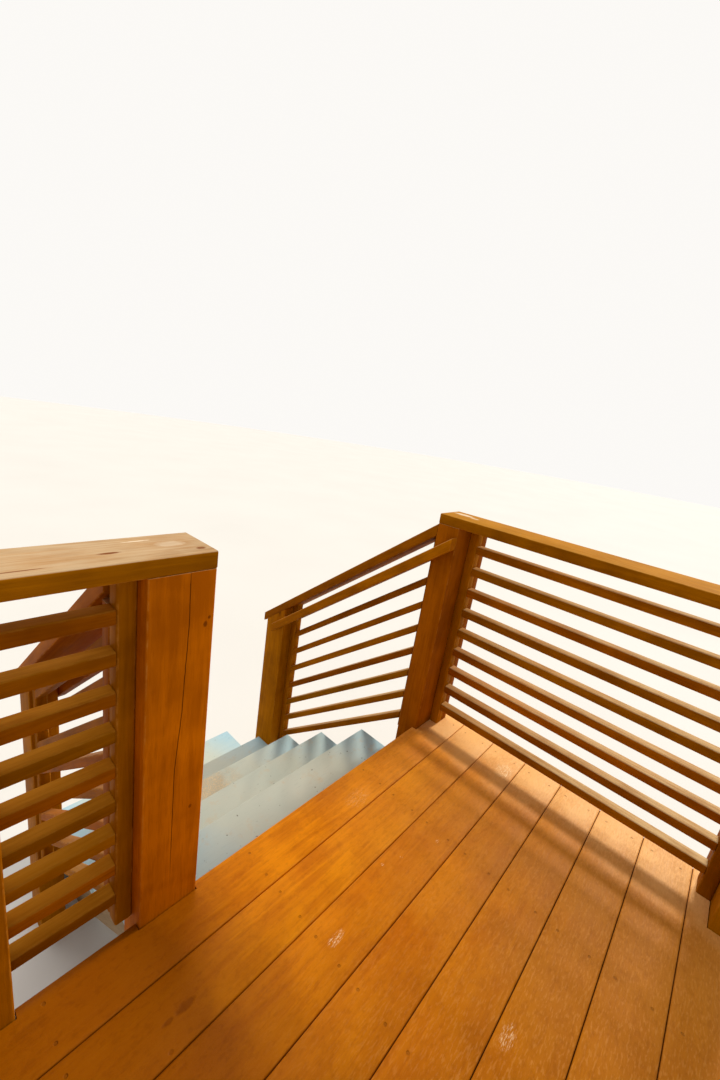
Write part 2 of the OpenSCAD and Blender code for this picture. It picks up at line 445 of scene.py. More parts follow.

# %% [markdown]
# The rails and posts show a browner tone than the floor, and less of the grain in
# relief. Each could have a recipe of its own, but one makes both, from a light tone,
# a dark tone and a direction. A board's own number makes it lighter or darker, more
# orange or more olive, than its neighbour. Eased edges are painted paler: partly a
# painted highlight along the rounded edge, partly stain rubbed off.

# %% Stained finishes
KNOT_HEART = colour(84, 34, 2)
SCUFF_AND_EDGE_HIGHLIGHT = colour(216, 148, 66)
EASED_SIDE = {"x": "Y", "y": "X", "z": "X", "fall": "X"}
HUE_STEP, HUE_REACH, HUE_START = 7.31, 0.014, 0.5018
TONE_REACH = 0.30
SCUFF_WIDTH = 0.05


def own_tone(finish, number, tint, vary):
    """Shifts a colour a little, each board its own way."""
    turn = finish.math("FRACT", number * HUE_STEP)
    return finish.node("ShaderNodeHueSaturation", None, {
        "Hue": turn * (HUE_REACH * vary) + HUE_START,
        "Value": number * (TONE_REACH * vary) + (1 - TONE_REACH / 2 * vary),
        "Color": tint,
    })


def stained(name, along, light, dark, gloss, rarity=0.8, scuff_level=0.69, vary=1.0):
    """Solid stain on lumber whose grain runs along one direction."""
    finish = Finish(name)
    place, number = board_place(finish, along)
    fine, broad = grain(finish, place, along)
    heart, halo = knots(finish, place, along, rarity)
    blotch = finish.noise(place, scale=5.5, detail=3.0, roughness=0.6)
    pores = finish.noise(place, scale=520.0, detail=2.0, roughness=0.6)
    patchy = finish.noise(place, scale=34.0, detail=5.0, roughness=0.72)
    region = finish.ramp(finish.noise(place, scale=3.1, detail=1.0), (0.5, 0.0), (0.62, 1.0))

    tone = finish.ramp(blotch * 0.6 + broad * 0.4, (0.38, 0.0), (0.60, 1.0))
    tint = finish.mix(tone, dark, light)
    tint = finish.mix(finish.ramp(fine, (0.30, 0.55), (0.48, 0.0)), tint, dark)
    tint = finish.mix(halo * 0.6, tint, dark)
    tint = finish.mix(heart * 0.85, tint, KNOT_HEART)
    tint = own_tone(finish, number, tint, vary)

    scuffs = finish.ramp(patchy, (scuff_level, 0.0), (scuff_level + SCUFF_WIDTH, 1.0)) * region
    # Eased edges are painted paler: a painted highlight along the rounded edge, broken by patches
    # of rubbed-off stain.
    turned = abs(finish.normal(EASED_SIDE[along]))
    edge = finish.ramp(turned, (0.10, 0.0), (0.35, 1.0), (0.80, 1.0), (0.97, 0.0))
    edge = edge * finish.ramp(patchy * 0.6 + fine * 0.4, (0.46, 0.0), (0.60, 1.0))
    tint = finish.mix(scuffs * 0.35, tint, SCUFF_AND_EDGE_HIGHLIGHT)
    tint = finish.mix(edge * 0.35, tint, SCUFF_AND_EDGE_HIGHLIGHT)
    roughness = gloss + (fine - 0.5) * 0.25 + scuffs * 0.2 + heart * 0.1
    height = fine * 0.5 + broad * 0.9 + pores * 0.12 - heart * 0.6 + scuffs * 0.15
    return finish, tint, roughness, height, place


print("stain recipe ready")

# %% [markdown]
# Faces that look at the sky are painted paler: partly stain bleached by the sun,
# partly painted sunlight and sheen. They could have a paler material of their own,
# but its border would be hard. So the finish reads the surface's normal: what lies
# flat turns pale, what stands upright keeps its colour. How pale it turns is the
# board's worn value, and patches of noise leave brown in places. Slats that lie along
# X stand in shade and turn a darker golden, with less painted sheen; the caps tan.

# %% Rail stain
# Pale tops: painted sunlight and sheen over stain bleached by the sun. The golden pair is a darker
# version for slats that stand in shade.
SUNLIT_BLEACHED_TAN, HALF_SUNLIT_BLEACHED_TAN = colour(224, 198, 152), colour(186, 142, 84)
SHADED_TOP_GOLD, HALF_SHADED_TOP_GOLD = colour(188, 124, 34), colour(160, 98, 14)
RAIL_LIGHT, RAIL_DARK = colour(164, 86, 1), colour(132, 65, 0)
CHECK_DARK = colour(52, 22, 2)


def spot(finish, centre, size, ragged, grit):
    """1 at a place on the object, falling to 0 at the given distances from it."""
    place = finish.here()
    scale = tuple(1 / s for s in size)
    shift = tuple(-c / s for c, s in zip(centre, size))
    near = finish.length(finish.stretch(place, scale, shift=shift))
    frayed = (finish.noise(place, scale=grit, detail=4.0, roughness=0.6) - 0.5) * ragged
    return finish.ramp(near + frayed, (0.55, 1.0), (1.0, 0.0))


def rail_material(name, along, marks=(), check=None,
                  sunlit_bleached=SUNLIT_BLEACHED_TAN, half_sunlit_bleached=HALF_SUNLIT_BLEACHED_TAN):
    """The stain of rails and posts, with the marks of one piece if it has any."""
    finish, tint, roughness, height, place = stained(
        name, along, RAIL_LIGHT, RAIL_DARK, gloss=0.50)
    # Upward faces are painted paler: painted sunlight and sheen, with some sun bleaching.
    sun_sheen_and_bleach = finish.ramp(finish.normal("Z"), (0.45, 0.0), (0.75, 1.0)) * finish.attribute("worn")
    streaks = pressed(finish, place, along, STREAK_PRESS)
    patches = finish.noise(streaks, scale=90.0, detail=5.0, roughness=0.7)
    wide = finish.noise(place, scale=7.0, detail=3.0, roughness=0.6)
    patchy = finish.ramp(patches * 0.5 + wide * 0.5, (0.38, 0.55), (0.56, 1.0))
    pale = finish.mix(patches, half_sunlit_bleached, sunlit_bleached)
    tint = finish.mix(sun_sheen_and_bleach * patchy * 0.88, tint, pale)
    roughness = roughness + sun_sheen_and_bleach * 0.1
    for centre, size, strength, mark_colour in marks:
        mark = spot(finish, centre, size, ragged=0.8, grit=90.0) * strength
        tint = finish.mix(mark, tint, mark_colour)
        height = height - mark * 0.4
    if check:
        gap = check(finish)
        tint = finish.mix(gap * 0.9, tint, CHECK_DARK)
        height = height - gap * 1.5
    return finish.surface(tint, roughness, height, strength=0.5, reach=0.0012, shine=0.01)


rail_stain = {
    along: rail_material("rail_stain_" + along, along) for along in ("y", "z", "fall")
}
rail_stain["x"] = rail_material(
    "rail_stain_x", "x", sunlit_bleached=SHADED_TOP_GOLD, half_sunlit_bleached=HALF_SHADED_TOP_GOLD)
print("rail stain:", ", ".join(sorted(rail_stain)))

# %% [markdown]
# A few marks belong to single pieces: the drying check that wanders down the face of
# the left stair post, scars on the front cap, and a patch on the right cap rubbed
# nearly white. They could be painted as pictures, but a place on the object, a size
# in metres, a strength and a colour say the same. The check's line is a ramp: from
# bottom to top it says how far across the face the split has wandered.

# %% Marks on single pieces
RAIL_HEIGHT = 0.917
CHECKED_FACE = 0.9
CHECK_LEFT, CHECK_SWING, CHECK_WAVER = 0.080, 0.030, 0.002
CHECK_LINE = (
    (0.14, 0.267), (0.46, 0.25), (0.62, 0.60), (0.72, 0.68), (0.85, 0.82), (0.97, 0.767),
)
CHECK_FADE = ((0.08, 0.0), (0.20, 0.8), (0.40, 1.0), (0.95, 1.0), (0.99, 0.0))
PER_CENTIMETRE = 100
WHITE_RUB, BROWN_SCAR = colour(236, 222, 196), colour(112, 54, 12)


def at(x, y, z=0):
    """A place from the deck corner beside the left stair post, in metres."""
    return (deck_corner.x + x, deck_corner.y + y, deck_corner.z + z)


def on_cap(x, y):
    """A place on the upper face of a flat cap."""
    return at(x, y, RAIL_HEIGHT)


def drying_check(finish):
    """A thin split that wanders down the post's near face."""
    here = finish.here()
    rise = (finish.part(here, "Z") - deck_corner.z) * (1 / CHECKED_FACE)
    line = finish.ramp(rise, *CHECK_LINE)
    waver = (finish.noise(here, scale=45.0, detail=3.0) - 0.5) * CHECK_WAVER
    off = finish.part(here, "X") - (deck_corner.x - CHECK_LEFT) - line * CHECK_SWING + waver
    gap = finish.ramp(abs(off) * PER_CENTIMETRE, (0.04, 1.0), (0.13, 0.0))
    fade = finish.ramp(rise, *CHECK_FADE)
    return gap * fade * (finish.normal("Y") < -0.5)


POST_MARKS = (
    (at(-0.020, -0.019, 0.758), (0.006, 0.006, 0.009), 0.7, KNOT_HEART),
    (at(-0.012, -0.019, 0.772), (0.004, 0.006, 0.005), 0.7, KNOT_HEART),
    (at(-0.030, -0.019, 0.287), (0.005, 0.006, 0.007), 0.6, KNOT_HEART),
)
FRONT_CAP_MARKS = (
    (on_cap(-0.186, 0.038), (0.024, 0.006, 0.01), 0.9, BROWN_SCAR),
    (on_cap(-0.118, 0.090), (0.030, 0.004, 0.01), 0.6, WHITE_RUB),
    (on_cap(-0.066, 0.054), (0.034, 0.020, 0.01), 0.25, WHITE_RUB),
    (on_cap(-0.023, 0.010), (0.012, 0.009, 0.01), 0.8, BROWN_SCAR),
    (on_cap(-0.329, 0.004), (0.050, 0.003, 0.01), 0.7, BROWN_SCAR),
)
RIGHT_CAP_MARKS = (
    (on_cap(1.080, 0.020), (0.020, 0.046, 0.01), 0.6, WHITE_RUB),
    (on_cap(1.064, -0.034), (0.012, 0.022, 0.01), 0.5, WHITE_RUB),
)
marked_stain = {
    "stair_post_left": rail_material("post_stain", "z", POST_MARKS, drying_check),
    "front_cap": rail_material(
        "front_cap_stain", "x", FRONT_CAP_MARKS,
        sunlit_bleached=colour(206, 186, 156), half_sunlit_bleached=colour(176, 146, 102)),
    "right_cap": rail_material(
        "right_cap_stain", "y", RIGHT_CAP_MARKS,
        sunlit_bleached=colour(206, 152, 66), half_sunlit_bleached=colour(178, 122, 38)),
}
print("marked pieces:", ", ".join(sorted(marked_stain)))

# %% [markdown]
# ## Deck boards
# Eight boards run from side to side, their ends past the rims. The front one is let
# in round the four front posts, and the last one round the rear posts. Each notch
# could be drawn point by point. The Boolean modifier saws it out as a carpenter
# would: the cutter is the post's own box, a little larger, so the gap is even. The
# gaps between boards are painted dark with shade: a thin dark strip low in each gap
# stands in for the shade under the deck, and is joined to the board later.

# %% Saw the boards
DECK_BOARDS = 8
NOTCH_GAP = 0.002
DEEP = 0.1
SHADE_STRIP_INSET, SHADE_STRIP_BITE = 0.004, 0.0005
SHADE_STRIP_BOTTOM, SHADE_STRIP_TOP = 0.016, 0.008
FRONT_POSTS = ("stair_post_left", "stair_post_right", "middle_post", "left_corner_post")
REAR_POSTS = ("left_rear_post", "right_rear_post")


def cut_away(obj, cutter):
    """Takes the cutter's shape out of obj and removes the cutter."""
    select_only(obj)
    saw = obj.modifiers.new("saw", "BOOLEAN")
    saw.operation, saw.solver, saw.object = "DIFFERENCE", "EXACT", cutter
    bpy.ops.object.modifier_apply(modifier=saw.name)
    bpy.data.objects.remove(cutter, do_unlink=True)


def notch_round(obj, post, open_front):
    """Lets a deck board in round a post."""
    low, high = (Vector(corner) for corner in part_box(post))
    bottom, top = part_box(obj.name.replace("stained_", ""))
    gap = Vector((NOTCH_GAP, NOTCH_GAP, 0))
    low, high = low - gap, high + gap
    if low.y > top[1] or high.y < bottom[1]:
        return
    if open_front:
        high.y = top[1] + DEEP
    low.z, high.z = bottom[2] - DEEP, top[2] + DEEP
    cut_away(obj, plain_box("cutter", low, high))


def shade_strip_in_gap(index):
    """A dark strip low in the gap between a board and the next one: painted shade."""
    low, high = (Vector(corner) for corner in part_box(f"deck_board_{index}"))
    next_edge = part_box(f"deck_board_{index + 1}")[1][1]
    obj = plain_box(
        "grime",
        (low.x + SHADE_STRIP_INSET, next_edge - SHADE_STRIP_BITE, high.z - SHADE_STRIP_BOTTOM),
        (high.x - SHADE_STRIP_INSET, low.y + SHADE_STRIP_BITE, high.z - SHADE_STRIP_TOP),
    )
    mark_plank(obj)
    return obj


deck_boards, gap_grime = [], {}
for index in range(1, DECK_BOARDS + 1):
    node = f"deck_board_{index}"
    piece = plain_box("stained_" + node, *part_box(node))
    ease_edges(piece, "x")
    for post in FRONT_POSTS + REAR_POSTS:
        notch_round(piece, post, post in FRONT_POSTS)
    mark_plank(piece)
    deck_boards.append(finish_piece(piece, [node]))
    if index < DECK_BOARDS:
        gap_grime[index] = shade_strip_in_gap(index)
# The strips of dirt counted here are thin dark strips of painted shade.
print(len(deck_boards), "deck boards,", len(gap_grime), "strips of dirt")

# %% [markdown]
# ## Posts, rims and flat caps
# All of these are single boards set against their nodes. The nodes' own meshes could
# be shown, but they are loose, sharp-edged triangles. A few boards in plain view are
# given their number instead of a random one, so that their tone is the right one. The
# numbers also paint in light and shade: the right stair post is darker, as it stands
# in shade, and the left stair post lighter. The caps lie open to the sky and are
# painted paler than the posts: bleached stain with painted sunlight and sheen.

# %% Straight pieces
STRAIGHT = {
    "stair_post_left": "z", "stair_post_right": "z", "middle_post": "z",
    "left_corner_post": "z", "left_rear_post": "z", "right_rear_post": "z",
    "front_rim": "x", "left_rim": "y", "right_rim": "y",
    "front_cap": "x", "left_cap": "y", "right_cap": "y",
}
# Some numbers paint light and shade into the tone: the right stair post is darker, as it stands in
# shade, and the left stair post lighter.
TONE_AND_SHADE_NUMBER = {
    "stair_post_left": 2.601, "stair_post_right": 0.56, "middle_post": 0.9,
    "newel_left": 0.80, "newel_right": 1.22, "front_cap": 0.4, "right_cap": 0.25,
}
# How pale each cap's top is painted: bleaching with painted sunlight and sheen.
CAP_SHEEN_AND_WEAR = {"front_cap": 0.85, "right_cap": 0.62, "left_cap": 0.8}
POST_SHEEN_AND_WEAR = 0.5
rails = {}
for node, along in STRAIGHT.items():
    piece = board("stained_" + node, *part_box(node), along,
                  number=TONE_AND_SHADE_NUMBER.get(node), worn=CAP_SHEEN_AND_WEAR.get(node, POST_SHEEN_AND_WEAR))
    piece.data.materials.append(marked_stain.get(node, rail_stain[along]))
    rails[node] = finish_piece(piece, [node])
print(len(rails), "straight pieces")

# %% [markdown]
# ## Newels and the boards that fall with the stairs
# Caps and handrails fall at one slope, and their ends are cut upright. A turned box
# would have its ends at a right angle to the slope. So each starts as a level box,
# and its downhill end is pushed down by the fall. A newel's head is sawn to the slope
# of the cap that lies on it: only its upper corners on the downhill side go down.

# %% Newels, stair caps and handrails
PLANK, SLAT = 0.038, 0.038
TILT = math.sqrt(1 + RAIL_FALL ** 2)
LONG_EDGE, SHORT_RUN = 0.5, 1e-3
# The left side stands in shade, so its tops get less painted sunlight and sheen than the right
# side.
STAIR_SHEEN_AND_WEAR = {"left": 0.25, "right": 0.8}


def stands_upright(a, b):
    """Whether an edge is one of the long upright ones."""
    return abs(a.z - b.z) > LONG_EDGE


def lower_far_end(obj, only_top=False):
    """Pushes the downhill end down so that the piece falls with the stairs."""
    near, far = (limit(v.co.y for v in obj.data.vertices) for limit in (min, max))
    middle = sum(v.co.z for v in obj.data.vertices) / len(obj.data.vertices)

    def downhill(corner):
        return corner.y > far - TINY and (corner.z > middle or not only_top)

    choose_corners(obj, downhill)
    drop = -RAIL_FALL * (far - near)
    in_edit_mode(obj, bpy.ops.transform.translate, "VERT", value=(0, 0, drop))


def ease_falling(obj, ease):
    """Rounds the edges that run down the stairs and breaks those at the ends."""
    bevel_edges(obj, lambda a, b: abs(a.y - b.y) > SHORT_RUN, ease, ROUND_STEPS)
    bevel_edges(obj, lambda a, b: abs(a.y - b.y) < TINY, BROKEN_EDGE, FLAT_STEPS)


def stain(obj, along):
    """Gives a board the rail stain whose grain runs its way."""
    obj.data.materials.append(rail_stain[along])
    return obj


def falling_box(name, low, high, thickness, ease=EASE):
    """A box down the stairs with eased edges, from its node's box or a part of it."""
    start = Vector((low[0], low[1], high[2] - thickness * TILT))
    obj = plain_box(name, start, high)
    lower_far_end(obj)
    ease_falling(obj, ease)
    return obj


for side in ("left", "right"):
    node = "newel_" + side
    piece = plain_box("stained_" + node, *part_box(node))
    lower_far_end(piece, only_top=True)
    bevel_edges(piece, stands_upright, EASE, ROUND_STEPS)
    mark_plank(piece, TONE_AND_SHADE_NUMBER[node])
    rails[node] = finish_piece(stain(piece, "z"), [node])
    for node, thickness in (("stair_cap_" + side, PLANK), ("handrail_" + side, SLAT)):
        piece = falling_box("stained_" + node, *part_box(node), thickness)
        mark_plank(piece, worn=STAIR_SHEEN_AND_WEAR[side])
        rails[node] = finish_piece(stain(piece, "fall"), [node])
print("with newels, stair caps and handrails:", len(rails))

# %% [markdown]
# ## Slat panels
# A panel is a stack of slats between upright trims. An Array modifier would repeat
# one slat, grain and all. So one slat is modelled and copied up the panel, each copy
# with a mesh and a number of its own, and all are joined into one piece. The heights
# come from the panel's box and the spaces left free below the lowest slat and above
# the highest. The right panel's slat tops are painted palest at its rear: painted
# sheen and sunlight, with some bleaching.

# %% Level panels
FREE_GAP = 0.069
LEVEL_SLAT = 0.032
SLAT_COUNT = 9
SLAT_EASE = 0.005
# Slat tops are painted palest at the rear: painted sheen and sunlight with some bleaching.
RIGHT_PANEL_SHEEN_AND_WEAR = (1.15, 0.45)


def join(name, parts):
    """Makes one piece out of several."""
    bpy.ops.object.select_all(action="DESELECT")
    for part in parts:
        part.select_set(True)
    bpy.context.view_layer.objects.active = parts[0]
    bpy.ops.object.join()
    parts[0].name = parts[0].data.name = name
    return parts[0]


def copies(pattern, count, rise):
    """A board and its copies, each set above the last by the same rise."""
    boards = [pattern]
    for step in range(1, count):
        select_only(pattern)
        bpy.ops.object.duplicate()
        twin = bpy.context.object
        bpy.ops.transform.translate(value=(0, 0, step * rise))
        bpy.ops.object.transform_apply(location=True, rotation=True, scale=True)
        boards.append(twin)
    return boards


def level_panel(node, along, trims, worn=1.0):
    """Slats along X or Y, with a trim at the low end, the high end or both."""
    low, high = (Vector(corner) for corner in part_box(node))
    axis = AXES[along]
    parts = []
    start, end = low[axis], high[axis]
    for trim in trims:
        a, b = low.copy(), high.copy()
        if trim == "low":
            b[axis] = start = low[axis] + SLAT
        else:
            a[axis] = end = high[axis] - SLAT
        parts.append(stain(board("trim", a, b, "z", SLAT_EASE), "z"))
    pitch = (high.z - low.z - 2 * FREE_GAP - LEVEL_SLAT) / (SLAT_COUNT - 1)
    a, b = low.copy(), high.copy()
    a[axis], b[axis] = start, end
    a.z, b.z = low.z + FREE_GAP, low.z + FREE_GAP + LEVEL_SLAT
    slat = plain_box("slat", a, b)
    ease_edges(slat, along, SLAT_EASE)
    for part in copies(slat, SLAT_COUNT, pitch):
        mark_plank(part, worn=worn)
        parts.append(stain(part, along))
    return finish_piece(join("stained_" + node, parts), [node])


panels = [
    level_panel("narrow_slat_panel", "x", ["high"]),
    level_panel("wide_slat_panel", "x", ["low"]),
    level_panel("left_slat_panel", "y", ["low", "high"]),
    level_panel("right_slat_panel", "y", ["low", "high"], RIGHT_PANEL_SHEEN_AND_WEAR),
]
print("slats in level panels:", SLAT_COUNT * len(panels))

# %% [markdown]
# Nailers are uprights behind the trims: one at each end of a side panel, and one for
# each of the two front panels. They come in pairs, so one node holds two. Its box
# gives both: each is as thick as a slat and stands at one end of it. The front one
# beside the stairs ends below the left stair cap.

# %% Nailers
def stair_cap_top(side, y):
    """The height of the stair cap's upper face at a place along the flight."""
    low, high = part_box("stair_cap_" + side)
    return high[2] - RAIL_FALL * (y - low[1])


def nailer_pair(node, along):
    """Two uprights at the ends of their node's box."""
    low, high = (Vector(corner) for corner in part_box(node))
    axis = AXES[along]
    inner_low, inner_high = low.copy(), high.copy()
    inner_high[axis] = low[axis] + SLAT
    inner_low[axis] = high[axis] - SLAT
    if node == "front_nailers":
        high.z = stair_cap_top("left", high.y) - PLANK * TILT - NOTCH_GAP
    parts = [
        stain(board("nailer", a, b, "z", SLAT_EASE), "z")
        for a, b in ((low, inner_high), (inner_low, high))
    ]
    return finish_piece(join("stained_" + node, parts), [node])


nailers = [
    nailer_pair("front_nailers", "x"),
    nailer_pair("left_nailers", "y"),
    nailer_pair("right_nailers", "y"),
]
print(len(nailers), "pairs of nailers")

# %% [markdown]
# The panels beside the stairs are made the same way, but their slats fall with the
# flight, and their trims are sawn to the slope at both ends. Heights above the
# ground would change along the flight, so they are measured down from the stair cap.

# %% Stair panels
STAIR_SLATS = 8
HIGH_DROP, LOW_DROP = 0.104, 0.862
STAIR_SLAT = 0.028


def stair_panel(side):
    """Slats that fall with the stairs, between a trim at the post and one at the newel."""
    node = "stair_slat_panel_" + side
    low, high = (Vector(corner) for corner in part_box(node))
    trim_rise = LOW_DROP + STAIR_SLAT * TILT + SLAT - PLANK * TILT
    parts = []
    for y in (low.y, high.y - SLAT):
        top = stair_cap_top(side, y) - PLANK * TILT
        part = plain_box("trim", (low.x, y, top - trim_rise), (high.x, y + SLAT, top))
        lower_far_end(part)
        bevel_edges(part, stands_upright, SLAT_EASE, ROUND_STEPS)
        mark_plank(part)
        parts.append(stain(part, "z"))
    pitch = (LOW_DROP - HIGH_DROP) / (STAIR_SLATS - 1)
    start = low.y + SLAT
    top = stair_cap_top(side, start) - HIGH_DROP
    a, b = (low.x, start, top - STAIR_SLAT), (high.x, high.y - SLAT, top)
    slat = falling_box("slat", a, b, STAIR_SLAT, SLAT_EASE)
    for part in copies(slat, STAIR_SLATS, -pitch):
        mark_plank(part, worn=STAIR_SHEEN_AND_WEAR[side])
        parts.append(stain(part, "fall"))
    return finish_piece(join("stained_" + node, parts), [node])


panels += [stair_panel("left"), stair_panel("right")]
print(len(panels), "slat panels in all")

# %% [markdown]
# ## Treads
# The treads are planks painted grey-blue. Feet have worn the paint to a warmer,
# duller tone along the middle of the flight, while the ends keep their blue. The
# third tread has a patch of trodden dirt, and dark specks lie on all of them. Each
# tread could have its own wear, but feet wear a path down the whole flight, so the
# wear is placed on the object and runs on from tread to tread.

# %% Tread paint
stair_low = Vector(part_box("tread_1")[0])
stair_high = Vector(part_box("tread_1")[1])
WORN_CENTRE = (stair_low.x + stair_high.x) / 2 + 0.05
HALF_STAIR = (stair_high.x - stair_low.x) / 2
DIRT_CENTRE = (stair_low.x + 0.461, stair_low.y + 0.70, stair_low.z - 0.345)
DIRT_SIZE = (0.24, 0.19, 0.2)
BLUE_DARK, BLUE_LIGHT = colour(134, 172, 186), colour(162, 188, 194)
GREY_DARK, GREY_LIGHT = colour(162, 174, 162), colour(192, 188, 168)
SOIL_DARK, SOIL_LIGHT = colour(150, 118, 78), colour(206, 178, 136)
OLD_STAIN, SPECK, STREAK = colour(186, 158, 112), colour(74, 56, 38), colour(120, 128, 126)


def tread_material():
    """Grey-blue paint, worn along the middle and dirty in places."""
    finish = Finish("tread_paint")
    place, _ = board_place(finish, "x")
    fine, broad = grain(finish, place, "x")
    here = finish.here()
    cloud = finish.noise(here, scale=4.0, detail=4.0, roughness=0.6)
    grit = finish.noise(here, scale=210.0, detail=3.0, roughness=0.7)
    blots = finish.noise(here, scale=16.0, detail=5.0, roughness=0.7)
    dots = finish.noise(here, scale=75.0, detail=2.0, roughness=0.5)

    from_middle = abs((finish.part(here, "X") - WORN_CENTRE) * (1 / HALF_STAIR))
    worn = finish.ramp(from_middle + (cloud - 0.5) * 0.8, (0.45, 1.0), (0.95, 0.0))
    blue = finish.mix(broad, BLUE_DARK, BLUE_LIGHT)
    grey = finish.mix(cloud, GREY_DARK, GREY_LIGHT)
    tint = finish.mix(worn, blue, grey)
    stains = finish.ramp(blots, (0.58, 0.0), (0.74, 1.0))
    tint = finish.mix(stains * 0.5, tint, OLD_STAIN)

    patch = spot(finish, DIRT_CENTRE, DIRT_SIZE, ragged=0.9, grit=22.0)
    soil = finish.mix(finish.ramp(grit, (0.42, 0.0), (0.58, 1.0)), SOIL_DARK, SOIL_LIGHT)
    tint = finish.mix(patch * finish.ramp(grit, (0.36, 0.15), (0.56, 0.8)), tint, soil)
    specks = finish.ramp(dots, (0.725, 0.0), (0.75, 1.0))
    tint = finish.mix(specks * 0.8, tint, SPECK)
    tint = finish.mix(finish.ramp(fine, (0.25, 0.3), (0.42, 0.0)), tint, STREAK)
    roughness = 0.5 + (cloud - 0.5) * 0.2 + patch * 0.3 + specks * 0.2
    height = fine * 0.35 + broad * 0.5 + patch * grit * 1.2 + specks * 0.5
    return finish.surface(tint, roughness, height, strength=0.5, reach=0.0012)


tread_paint = tread_material()
print("tread paint ready")

# %% [markdown]
# The first tread tucks in behind the left stair post, so the post's box is sawn out
# of it. The others are plain planks.

# %% Lay the treads
TREADS = 5
TREAD_EASE = 0.006

treads = []
for index in range(1, TREADS + 1):
    node = f"tread_{index}"
    piece = plain_box("painted_" + node, *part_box(node))
    ease_edges(piece, "x", TREAD_EASE)
    if index == 1:
        low, high = (Vector(corner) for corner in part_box("stair_post_left"))
        low, high = low - Vector((0, DEEP, 0)), high + Vector((NOTCH_GAP, 0, 0))
        cut_away(piece, plain_box("cutter", low, high))
    mark_plank(piece)
    piece.data.materials.append(tread_paint)
    treads.append(finish_piece(piece, [node]))
print(len(treads), "treads")

# %% [markdown]
# ## Deck stain
# The floor wears the brightest stain, and it carries marks of its own: dark knots,
# pale patches, partly rubbed and partly painted glints, most of them near the right
# rail, and a small dip at each screw, darkened with painted shade. Two screws hold
# every board to every joist. Nearly a hundred dips could be listed one by one. Instead
# the distance to the nearest is found by folding the place across the boards at each
# board's middle line.

# %% Marks on the floor
DECK_KNOTS = (
    (at(-0.130, -0.220), (0.026, 0.010, 0.02), 1.0),
    (at(-0.166, -0.221), (0.014, 0.006, 0.02), 1.0),
    (at(-0.361, -0.053), (0.034, 0.012, 0.02), 0.4),
    (at(-0.182, -0.267), (0.006, 0.005, 0.02), 0.7),
)
# Pale patches: partly rubbed stain, partly painted glints.
DECK_RUBS_AND_GLINTS = (
    (at(1.075, -0.379), (0.050, 0.034, 0.02), 0.8),
    (at(0.536, -0.097), (0.060, 0.034, 0.02), 0.18),
    (at(0.610, -0.369), (0.010, 0.006, 0.02), 0.6),
    (at(0.482, -0.325), (0.005, 0.005, 0.02), 0.6),
    (at(0.422, -0.302), (0.006, 0.005, 0.02), 0.6),
    (at(0.190, -0.344), (0.030, 0.012, 0.02), 0.7),
    (at(0.335, -0.725), (0.034, 0.016, 0.02), 0.55),
)
JOISTS = (-1.321, -0.816, -0.330, 0.156, 0.642, 1.147)
SCREW_SPREAD = 0.080
FAR_AWAY = 1.0


def joist_screws(finish, across, along):
    """Small dips where a screw holds a board to a joist, darkened with painted shade."""
    pitch = board_high[1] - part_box("deck_board_2")[1][1]
    middle = (board_low[1] + board_high[1]) / 2
    row = finish.math("PINGPONG", along - (middle - DECK_BOARDS * pitch), pitch / 2)
    nearest = FAR_AWAY
    for joist in JOISTS:
        nearest = finish.math("MINIMUM", abs(across - (deck_corner.x + joist)), nearest)
    reach = finish.length(finish.combine(nearest, row - SCREW_SPREAD / 2))
    return finish.ramp(reach * PER_CENTIMETRE, (0.28, 1.0), (0.42, 0.0))


print("floor marks:", len(DECK_KNOTS), "knots,", len(DECK_RUBS_AND_GLINTS), "rubs")

# %% [markdown]
# The tone changes over the floor, mostly as painted light. It is darker towards the
# rear and at the left end, painted shade, and paler towards the right rail, painted
# sheen, with pale flecks that are partly scratches and partly painted glints. A strip
# at the foot of that rail is painted paler still, as sunlit. This could be painted on by
# hand. A mask is easier to adjust: a distance from the deck corner, made ragged by a
# cloud of noise, then read through a ramp. A ramp reads from 0 to 1 only, so a mask
# whose edge lies at a distance of 0 is first raised by a half.

# %% Deck finish
DECK_LIGHT, DECK_DARK = colour(230, 132, 3), colour(198, 102, 0)
NEAR_PAINTED_SHADE, LEFT_PAINTED_SHADE = colour(150, 88, 6), colour(130, 67, 0)
RIGHT_PAINTED_SHEEN, GLINT_AND_SCRATCH_PALE = colour(204, 146, 74), colour(222, 156, 80)
SUNLIT_STRIP_PALE, RUB_AND_GLINT_PALE = colour(244, 190, 122), colour(248, 220, 172)
PEEL_SHADE, SCREW_DIP_SHADE = colour(216, 204, 190), colour(96, 52, 10)
FOOT_OF_RAIL = 1.025
RAISE = 0.5


